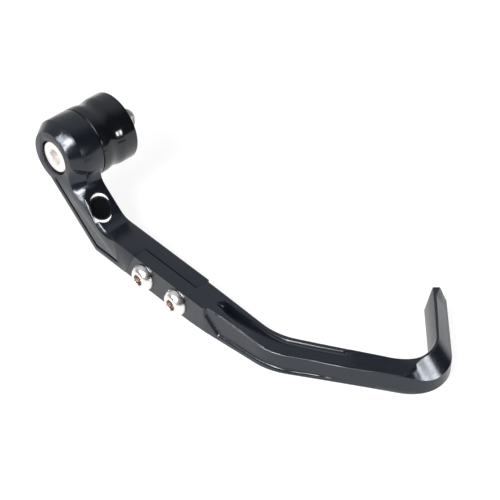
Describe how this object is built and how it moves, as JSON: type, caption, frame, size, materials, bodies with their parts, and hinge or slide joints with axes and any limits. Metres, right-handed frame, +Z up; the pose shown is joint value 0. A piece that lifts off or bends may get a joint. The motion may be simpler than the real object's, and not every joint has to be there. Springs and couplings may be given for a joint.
{
  "type": "brake lever guard",
  "caption": "Bar-end guard for a brake lever: a round bracket on a bolted spacer carries a bent, bevelled blade that shields the lever and hooks back at its tip.",
  "frame": {"origin": "on the bolt axis, at the rear face of the spacer, where it meets the end of the handlebar", "axes": "+X along the handlebar towards the rider's hand, -Y forward along the blade, +Z up, square to the blade's flat upper face"},
  "size_m": [0.0782, 0.178, 0.0452],
  "materials": {
    "black_anodised": "milled aluminium, anodised black, satin with bright narrow bevels",
    "turned_black": "turned aluminium, anodised black, smooth satin",
    "stainless": "plain stainless steel, semi-bright"
  },
  "bodies": {
    "root": {"bracket": "black_anodised", "bar_end_spacer": "turned_black", "bar_bolt": "stainless", "guard_blade": "black_anodised", "blade_screws": "stainless"}
  },
  "joints": []
}
